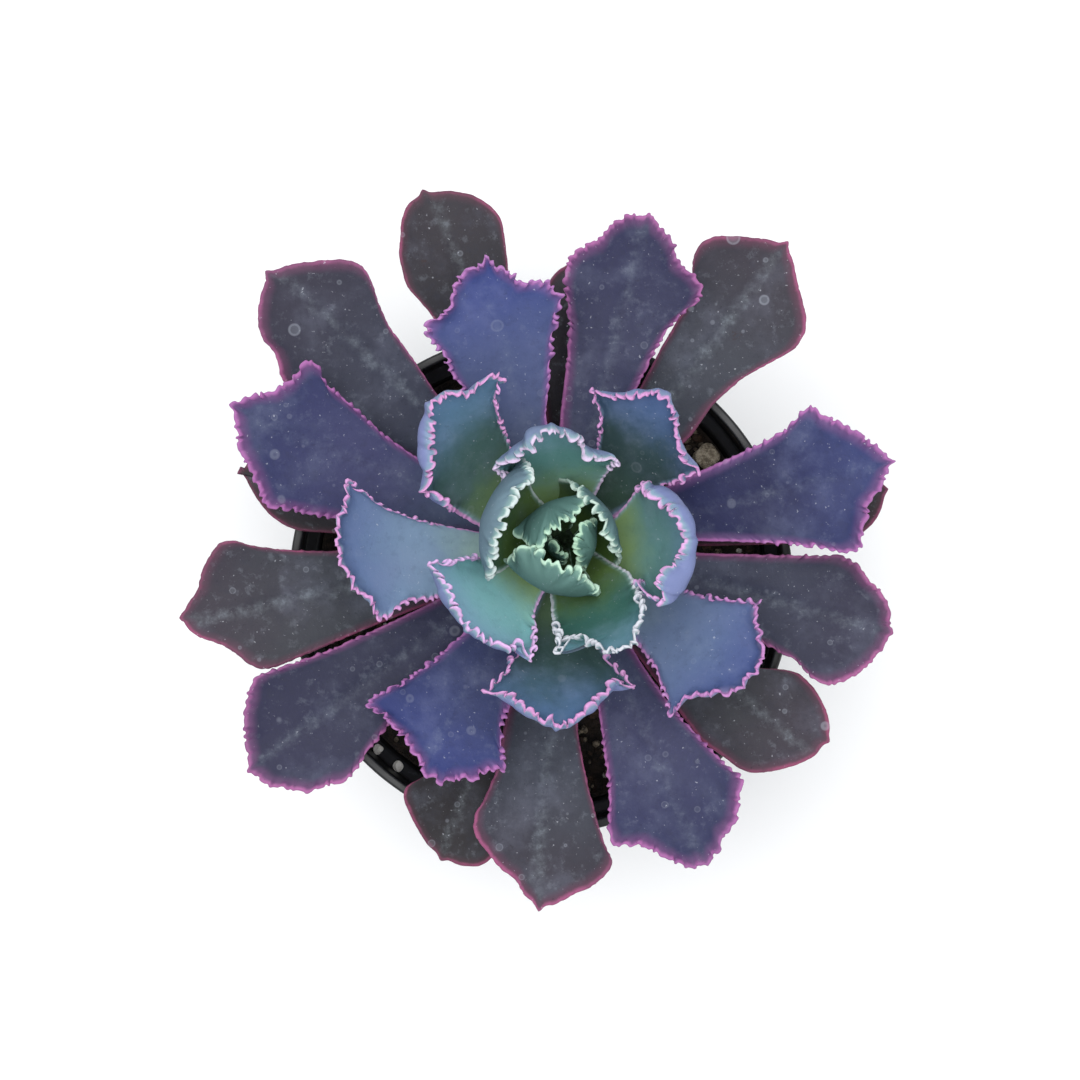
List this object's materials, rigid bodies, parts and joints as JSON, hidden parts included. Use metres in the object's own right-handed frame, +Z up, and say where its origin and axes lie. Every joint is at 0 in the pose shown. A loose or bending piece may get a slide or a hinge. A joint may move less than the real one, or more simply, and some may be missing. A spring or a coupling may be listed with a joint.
{
  "type": "potted succulent",
  "caption": "Rosette succulent with frilled, pink-edged blue-green leaves on a short stem, planted in a round tapered black plastic nursery pot.",
  "frame": {"origin": "centre of the pot's underside, on the surface it stands on", "axes": "+Z up, out of the pot; +X to the right and +Y away from a viewer who looks at the plant from the front"},
  "size_m": [0.1804, 0.1828, 0.1789],
  "materials": {
    "pot_plastic": "black injection-moulded polypropylene, satin, a little dusty",
    "soil": "dark gritty potting mix with pumice and perlite grit",
    "stem_bark": "short corky stem ringed with leaf scars",
    "leaf_old": "oldest leaves: thick, waxy, purple-grey with a thin crimson margin",
    "leaf_mid": "grown leaves: powdery blue-lavender bloom with a crisped pink margin",
    "leaf_heart": "youngest leaves: blue-green, powdery, with pale mint to pink frills",
    "pumice": "rough tan-grey pumice",
    "perlite": "white puffed perlite grain"
  },
  "bodies": {
    "root": {"pot": "pot_plastic", "soil": "soil", "stem": "stem_bark", "leaf_01": "leaf_old", "leaf_02": "leaf_old", "leaf_03": "leaf_old", "leaf_04": "leaf_old", "leaf_05": "leaf_old", "leaf_06": "leaf_old", "leaf_07": "leaf_old", "leaf_08": "leaf_old", "leaf_09": "leaf_old", "leaf_10": "leaf_old", "leaf_11": "leaf_old", "leaf_12": "leaf_old", "leaf_13": "leaf_mid", "leaf_14": "leaf_mid", "leaf_15": "leaf_mid", "leaf_16": "leaf_mid", "leaf_17": "leaf_mid", "leaf_18": "leaf_mid", "leaf_19": "leaf_mid", "leaf_20": "leaf_mid", "leaf_21": "leaf_mid", "leaf_22": "leaf_mid", "leaf_23": "leaf_mid", "leaf_24": "leaf_heart", "leaf_25": "leaf_heart", "leaf_26": "leaf_heart", "leaf_27": "leaf_heart", "leaf_28": "leaf_heart", "leaf_29": "leaf_heart", "leaf_30": "leaf_heart", "leaf_31": "leaf_heart", "leaf_32": "leaf_heart", "leaf_33": "leaf_heart", "pumice_1": "pumice", "perlite_1": "perlite", "perlite_2": "perlite"}
  },
  "joints": []
}
